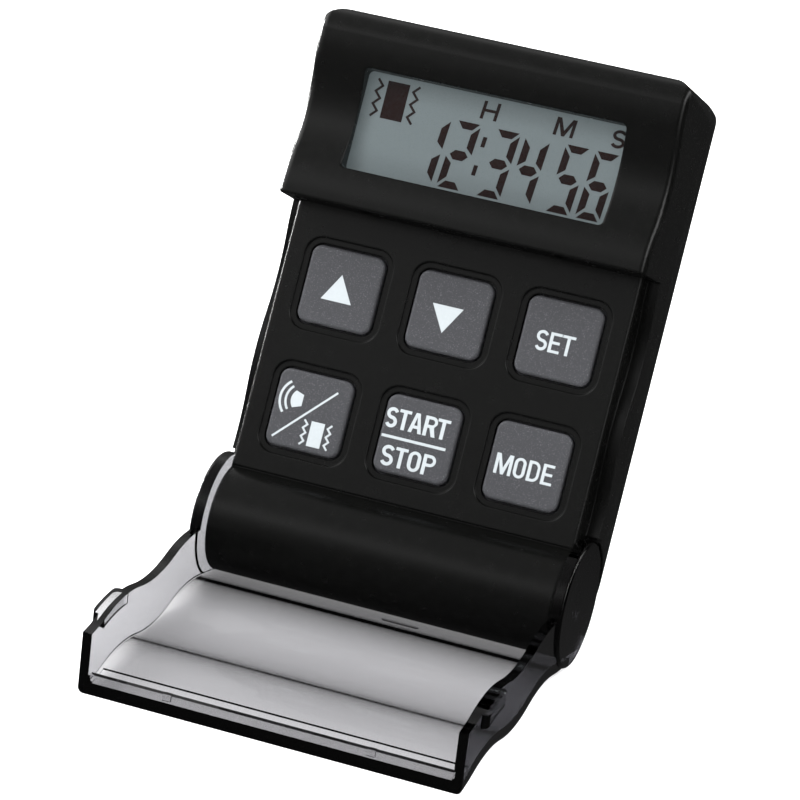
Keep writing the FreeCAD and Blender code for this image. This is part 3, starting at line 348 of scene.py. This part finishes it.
def outline_curve(outlines, thickness):
    """Filled flat curve from closed outlines in millimetres, an inner outline being a hole."""
    curve = bpy.data.curves.new("outline", "CURVE")
    curve.dimensions = "2D"
    curve.fill_mode = "BOTH"
    curve.extrude = thickness / 2 * MM
    for outline in outlines:
        spline = curve.splines.new("POLY")
        spline.points.add(len(outline) - 1)
        for point, (x, y) in zip(spline.points, outline):
            point.co = (x * MM, y * MM, 0, 1)
        spline.use_cyclic_u = True
    return curve


def ribbon(points, width):
    """Outline of a line of constant width with mitred joints."""
    sides = ([], [])
    for index, (x, y) in enumerate(points):
        before = points[max(index - 1, 0)]
        after = points[min(index + 1, len(points) - 1)]
        into = Vector((x - before[0], y - before[1]))
        out = Vector((after[0] - x, after[1] - y))
        into = into.normalized() if into.length > 0 else out.normalized()
        out = out.normalized() if out.length > 0 else into
        normal = Vector((-(into.y + out.y), into.x + out.x)).normalized()
        reach = width / 2 / max(0.35, normal.dot(Vector((-into.y, into.x))))
        sides[0].append((x + normal.x * reach, y + normal.y * reach))
        sides[1].append((x - normal.x * reach, y - normal.y * reach))
    return sides[0] + sides[1][::-1]


def arc_points(centre, radius, start, end, steps=12):
    """Points on an arc, from one angle in degrees to another."""
    turns = [math.radians(start + (end - start) * step / steps) for step in range(steps + 1)]
    return [(centre[0] + radius * math.cos(t), centre[1] + radius * math.sin(t)) for t in turns]


def sheared(outline, slant, base):
    """Outline leaning to the right above its base line."""
    return [(x + slant * (y - base), y) for x, y in outline]


def moved(outline, dx, dy):
    """Outline shifted along X and Y."""
    return [(x + dx, y + dy) for x, y in outline]


# ------------------------------------------------------------------ plain letters

# Each letter is a list of outlines for a width, a height, and the thickness of its upright
# stems and of its level bars.

def letter_h(w, h, stem, bar):
    low, high = (h - bar) / 2, (h + bar) / 2
    return [[(0, 0), (stem, 0), (stem, low), (w - stem, low), (w - stem, 0), (w, 0), (w, h),
             (w - stem, h), (w - stem, high), (stem, high), (stem, h), (0, h)]]


def letter_e(w, h, stem, bar):
    low, high = (h - bar) / 2, (h + bar) / 2
    return [[(0, 0), (w, 0), (w, bar), (stem, bar), (stem, low), (0.92 * w, low),
             (0.92 * w, high), (stem, high), (stem, h - bar), (w, h - bar), (w, h), (0, h)]]


def letter_t(w, h, stem, bar):
    left, right = (w - stem) / 2, (w + stem) / 2
    return [[(left, 0), (right, 0), (right, h - bar), (w, h - bar), (w, h), (0, h),
             (0, h - bar), (left, h - bar)]]


def letter_m(w, h, stem, bar):
    foot = 0.45 * stem
    shoulder = 1.3 * stem
    return [[(0, 0), (stem, 0), (stem, 0.7 * h), (w / 2 - foot, 0), (w / 2 + foot, 0),
             (w - stem, 0.7 * h), (w - stem, 0), (w, 0), (w, h), (w - shoulder, h),
             (w / 2, 0.32 * h), (shoulder, h), (0, h)]]


def letter_a(w, h, stem, bar):
    apex = 0.58 * stem
    peak = 0.80 * h
    low = 0.22 * h

    def inner(y):
        return 1.02 * stem + (w / 2 - 1.02 * stem) * y / peak
    outer = [(0, 0), (inner(0), 0), (inner(low), low), (w - inner(low), low),
             (w - inner(0), 0), (w, 0), (w / 2 + apex, h), (w / 2 - apex, h)]
    top = low + bar
    return [outer, [(inner(top), top), (w - inner(top), top), (w / 2, peak)]]


def letter_p(w, h, stem, bar):
    outer_radius = 0.29 * h
    low = h - 2 * outer_radius
    turn = (w - outer_radius, h - outer_radius)
    outer = [(0, 0), (stem, 0), (stem, low), *arc_points(turn, outer_radius, -90, 90), (0, h)]
    hole = [(stem, low + bar), *arc_points(turn, outer_radius - bar, -90, 90), (stem, h - bar)]
    return [outer, hole]


def letter_r(w, h, stem, bar):
    outer, hole = letter_p(w, h, stem, bar)
    low = outer[2][1]
    leg = [(0.44 * w, low), (w - 1.1 * stem, 0), (w, 0), (0.78 * w, low + 0.05 * h)]
    return [outer[:3] + leg + outer[8:], hole]


def letter_d(w, h, stem, bar):
    radius = 0.55 * w

    def side(inset, left):
        turn = radius - inset
        return [(left, inset), *arc_points((w - radius, radius), turn, -90, 0),
                *arc_points((w - radius, h - radius), turn, 0, 90), (left, h - inset)]
    return [side(0, 0), side(bar, stem)]


def letter_o(w, h, stem, bar):
    def loop(radius, low):
        return [*arc_points((w / 2, low), radius, 180, 360),
                *arc_points((w / 2, h - low), radius, 0, 180)]
    return [loop(w / 2, w / 2), loop(w / 2 - stem, w / 2 - stem + bar)]


def letter_s(w, h, stem, bar):
    across = (w - stem) / 2
    rise = (h - bar) / 4
    path = []
    for middle, start, end in ((h - bar / 2 - rise, 22, 262), (bar / 2 + rise, 82, -158)):
        path += [(w / 2 + across * x, middle + rise * y)
                 for x, y in arc_points((0, 0), 1.0, start, end, 14)]
    return [ribbon(path, (stem + bar) / 2)]


LETTERS = {
    "A": letter_a,
    "D": letter_d,
    "E": letter_e,
    "H": letter_h,
    "M": letter_m,
    "O": letter_o,
    "P": letter_p,
    "R": letter_r,
    "S": letter_s,
    "T": letter_t,
}


def lettering(places, base, height, stem, bar):
    """Outlines of letters, each given with its left and right edge."""
    outlines = []
    for letter, left, right in places:
        shapes = LETTERS[letter](right - left, height, stem, bar)
        outlines += [moved(shape, left, base) for shape in shapes]
    return outlines


# ------------------------------------------------------------------ display content

DIGIT_WIDTH = 3.95
DIGIT_HEIGHT = 10.75
DIGIT_BASE = 57.54
DIGIT_SLANT = 0.075
SIDE_STROKE = 1.15
END_STROKE = 1.14
MIDDLE_STROKE = 1.53
SEGMENTS = {"1": "bc", "2": "abged", "3": "abgcd", "4": "fgbc", "5": "afgcd", "6": "afgedc"}


def digit_segments():
    """The seven segments of a digit, upright, from its lower left corner."""
    w, h = DIGIT_WIDTH, DIGIT_HEIGHT
    middle = h / 2
    corner = 0.22
    tip = 0.48
    inset = corner + 0.97
    top = [(corner, h), (w - corner, h), (w - inset, h - END_STROKE), (inset, h - END_STROKE)]
    upper_right = [
        (w, h - tip),
        (w, middle + 0.43),
        (w - SIDE_STROKE, middle + 1.4),
        (w - SIDE_STROKE, h - tip - 1.3),
    ]
    reach = MIDDLE_STROKE / 2
    centre = [(0.5, middle), (1.2, middle + reach), (w - 1.2, middle + reach),
              (w - 0.5, middle), (w - 1.2, middle - reach), (1.2, middle - reach)]

    def across(outline):
        return [(w - x, y) for x, y in outline]

    def over(outline):
        return [(x, h - y) for x, y in outline]
    return {
        "a": top,
        "b": upper_right,
        "c": over(upper_right),
        "d": over(top),
        "e": over(across(upper_right)),
        "f": across(upper_right),
        "g": centre,
    }


def display_content():
    """Time read-out, unit letters and the vibration sign on the display glass."""
    ink = 0.03
    place = CASE @ Matrix.Translation((0, 0, (GLASS_FRONT + ink / 2) * MM))
    segments = digit_segments()
    outlines = []
    for pair, digits in enumerate(("12", "34", "56")):
        for order, digit in enumerate(digits):
            left = -11.68 + 11.36 * pair + 4.86 * order
            for key in SEGMENTS[digit]:
                outlines.append(sheared(moved(segments[key], left, DIGIT_BASE), DIGIT_SLANT,
                                        DIGIT_BASE))
    for low in (60.38, 64.97):
        dot = [(-1.99, low), (-1.33, low), (-1.33, low + 1.63), (-1.99, low + 1.63)]
        outlines.append(sheared(dot, DIGIT_SLANT, DIGIT_BASE))
    piece("display_digits", outline_curve(outlines, ink), place, "case", "display_ink")
    piece("display_vibration_sign", outline_curve(vibration_sign(
        -16.63, 69.0, 3.6, 6.0, 3.0, 0.38), ink), place, "case", "display_ink")
    letters = lettering([("H", -2.7, 0.02), ("M", 9.28, 12.5), ("S", 18.5, 20.75)],
                        69.3, 2.86, 0.52, 0.46)
    letters = [sheared(shape, DIGIT_SLANT, 69.3) for shape in letters]
    piece("display_unit_letters", outline_curve(letters, ink), place, "case",
                  "display_ink")


def vibration_sign(x, y, width, height, away, stroke):
    """A block between two zigzag lines."""
    half = width / 2
    reach = height / 2
    block = [(x - half, y - reach), (x + half, y - reach), (x + half, y + reach),
             (x - half, y + reach)]
    swing = 0.47 * height / 6.0
    steps = 6
    lines = []
    for side in (-1, 1):
        points = [(x + side * away + side * swing * (1 if n % 2 == 0 else -1),
                   y + reach - height * n / steps) for n in range(steps + 1)]
        lines.append(ribbon(points, stroke))
    return [block, *lines]


# ------------------------------------------------------------------ key legends

def legends():
    """White prints on the keys."""
    ink = 0.03

    def on_key(key):
        x, y = KEY_PLACES[key]
        return CASE @ Matrix.Translation((x * MM, y * MM, (KEY_TOP + ink / 2) * MM))

    def printed(name, key, outlines):
        made = piece(name, outline_curve(outlines, ink), on_key(key), key, "legend_white")

    printed("legend_up", "key_up", [[(-2.83, -2.1), (2.23, -2.1), (-0.3, 2.2)]])
    printed("legend_down", "key_down", [[(-2.94, 1.26), (2.14, 1.26), (-0.42, -3.03)]])
    printed("legend_set", "key_set", lettering(
        [("S", -3.56, -1.62), ("E", -1.38, 0.45), ("T", 0.56, 2.64)], -2.1, 3.15, 0.50, 0.43))
    printed("legend_mode", "key_mode", lettering(
        [("M", -5.0, -2.26), ("O", -1.96, -0.08), ("D", 0.28, 2.2), ("E", 2.6, 4.4)],
        -2.15, 3.2, 0.50, 0.43))
    printed("legend_start", "key_start", lettering(
        [("S", -5.74, -3.80), ("T", -3.72, -1.79), ("A", -1.84, 0.36), ("R", 0.56, 2.64),
         ("T", 2.60, 4.66)], 0.82, 3.15, 0.58, 0.48))
    printed("legend_stop", "key_start", lettering(
        [("S", -5.03, -2.93), ("T", -2.83, -0.83), ("O", -0.62, 1.46), ("P", 1.76, 3.84)],
        -5.08, 3.2, 0.58, 0.48))
    printed("legend_bar", "key_start", [[(-5.73, -0.78), (4.82, -0.78), (4.82, -0.34),
                                         (-5.73, -0.34)]])
    sound = [
        ribbon([(-5.0, -4.85), (3.8, 4.04)], 0.32),
        ribbon(arc_points((-1.9, 1.5), 3.35, 128, 224), 0.38),
        ribbon(arc_points((-1.6, 1.5), 2.7, 133, 220), 0.36),
        [*arc_points((-1.5, 1.5), 1.95, 133, 222), (-1.5, 0.72), (-1.5, 2.5)],
    ]
    printed("legend_alarm", "key_alarm", sound + vibration_sign(1.9, -3.13, 2.23, 3.95, 2.0, 0.30))


display_content()
legends()


# ------------------------------------------------------------------ floor, light and camera

def glossy_share(nodes, links):
    """One for rays that the object has reflected, nothing for those seen or let through."""
    share = nodes.new("ShaderNodeMath")
    share.operation = "GREATER_THAN"
    share.inputs[1].default_value = 0.5
    links.new(nodes.new("ShaderNodeLightPath").outputs["Glossy Depth"], share.inputs[0])
    return share.outputs["Value"]


def ramp(nodes, links, value, low, high, stops):
    """Piecewise linear grey level over a range of a value: stops are (position, level)."""
    scale = nodes.new("ShaderNodeMapRange")
    scale.inputs["From Min"].default_value = low
    scale.inputs["From Max"].default_value = high
    links.new(value, scale.inputs["Value"])
    made = nodes.new("ShaderNodeValToRGB")
    elements = made.color_ramp.elements
    while len(elements) < len(stops):
        elements.new(0.5)
    for element, (position, level) in zip(elements, stops):
        element.position = (position - low) / (high - low)
        element.color = (level, level, level, 1)
    links.new(scale.outputs["Result"], made.inputs["Fac"])
    return made.outputs["Color"]


def floor():
    """Large pale table that the object's finishes reflect as a dark one."""
    half = 3.0
    mesh = bpy.data.meshes.new("floor")
    mesh.from_pydata([(-half, -half, 0), (half, -half, 0), (half, half, 0), (-half, half, 0)], [],
                     [(0, 1, 2, 3)])
    table = bpy.data.objects.new("floor", mesh)
    bpy.context.scene.collection.objects.link(table)
    material, nodes, links, shader = node_material("floor_pale")
    tone = spread(nodes, links, object_noise(nodes, links, 8.0), 0, 1)
    links.new(mixed_color(nodes, links, tone, (0.90, 0.90, 0.90), (0.91, 0.91, 0.91)),
              shader.inputs["Base Color"])
    shader.inputs["Roughness"].default_value = 0.8
    shader.inputs["Specular IOR Level"].default_value = 0.0
    shader.inputs["Emission Color"].default_value = (1, 1, 1, 1)
    shader.inputs["Emission Strength"].default_value = 0.5
    split = nodes.new("ShaderNodeSeparateXYZ")
    links.new(nodes.new("ShaderNodeNewGeometry").outputs["Position"], split.inputs["Vector"])
    dark = nodes.new("ShaderNodeEmission")
    links.new(ramp(nodes, links, split.outputs["Y"], -0.4, 0.4, [(-0.15, 0.09), (0.05, 0.03)]),
              dark.inputs["Color"])
    mix = nodes.new("ShaderNodeMixShader")
    links.new(glossy_share(nodes, links), mix.inputs["Fac"])
    links.new(shader.outputs["BSDF"], mix.inputs[1])
    links.new(dark.outputs["Emission"], mix.inputs[2])
    links.new(mix.outputs["Shader"], nodes["Material Output"].inputs["Surface"])
    mesh.materials.append(material)
    table.location.z = -0.00002


def world():
    """White all round for the eye, and a dim room brighter on the left for reflections."""
    made = bpy.data.worlds.new("studio")
    bpy.context.scene.world = made
    made.use_nodes = True
    nodes, links = made.node_tree.nodes, made.node_tree.links
    background = nodes["Background"]
    place = nodes.new("ShaderNodeTexCoord")
    split = nodes.new("ShaderNodeSeparateXYZ")
    links.new(place.outputs["Generated"], split.inputs["Vector"])
    across = ramp(nodes, links, split.outputs["X"], -1.0, 1.0,
                  [(-0.95, 1.0), (-0.75, 0.75), (-0.5, 0.30), (-0.28, 0.15), (0.0, 0.06),
                   (0.50, 0.03), (0.60, 1.0), (0.76, 1.0), (0.86, 0.03)])
    height = ramp(nodes, links, split.outputs["Z"], -1.0, 1.0,
                  [(0.0, 0.15), (0.2, 0.20), (0.42, 0.45), (0.62, 1.0), (0.85, 0.45)])
    room = nodes.new("ShaderNodeMix")
    room.data_type = "RGBA"
    room.blend_type = "MULTIPLY"
    room.inputs["Factor"].default_value = 1.0
    links.new(across, room.inputs[6])
    links.new(height, room.inputs[7])
    brighter = nodes.new("ShaderNodeVectorMath")
    brighter.operation = "SCALE"
    brighter.inputs["Scale"].default_value = 3.2
    links.new(room.outputs[2], brighter.inputs[0])
    mix = nodes.new("ShaderNodeMix")
    mix.data_type = "RGBA"
    links.new(glossy_share(nodes, links), mix.inputs["Factor"])
    mix.inputs[6].default_value = (0.9, 0.9, 0.9, 1)
    links.new(brighter.outputs["Vector"], mix.inputs[7])
    links.new(mix.outputs[2], background.inputs["Color"])
    background.inputs["Strength"].default_value = 1.0


def area_light(name, place, aim, width, height, power, only_reflected=False):
    """Rectangular light that either lights the object or only shows in its reflections."""
    data = bpy.data.lights.new(name, "AREA")
    data.shape = "RECTANGLE"
    data.size = width
    data.size_y = height
    data.energy = power
    light = bpy.data.objects.new(name, data)
    bpy.context.scene.collection.objects.link(light)
    light.location = place
    light.rotation_mode = "QUATERNION"
    light.rotation_quaternion = (Vector(aim) - Vector(place)).to_track_quat("-Z", "Y")
    light.visible_camera = False
    light.visible_glossy = only_reflected
    light.visible_diffuse = not only_reflected
    light.visible_transmission = not only_reflected


def camera():
    """Seen from the front right, a little above, with the picture turned slightly."""
    azimuth, elevation, roll = (math.radians(a) for a in (17.48, 21.78, 7.0))
    away = 0.6211
    aim = HINGE + Vector((-4.69, 8.06, 22.77)) * MM
    back = Vector((math.sin(azimuth) * math.cos(elevation),
                   -math.cos(azimuth) * math.cos(elevation), math.sin(elevation)))
    data = bpy.data.cameras.new("camera")
    data.sensor_width = 36.0
    data.lens = 180.0
    data.clip_start = 0.05
    data.clip_end = 20.0
    made = bpy.data.objects.new("camera", data)
    bpy.context.scene.collection.objects.link(made)
    made.rotation_mode = "QUATERNION"
    made.location = aim + back * away
    upright = (-back).to_track_quat("-Z", "Y").to_matrix().to_4x4()
    made.rotation_quaternion = (upright @ Matrix.Rotation(roll, 4, "Z")).to_quaternion()
    bpy.context.scene.camera = made


floor()
world()
area_light("key_light", (-0.55, -0.25, 0.65), (0, 0, 0.04), 0.5, 0.5, 9.0)
area_light("top_light", (0.15, 0.25, 0.85), (0, 0, 0.04), 0.7, 0.7, 8.0)
area_light("edge_light", (-1.1, 0.35, 0.02), (0, 0, 0.05), 0.35, 0.5, 28.0, only_reflected=True)
camera()
bpy.context.scene.view_settings.view_transform = "Standard"
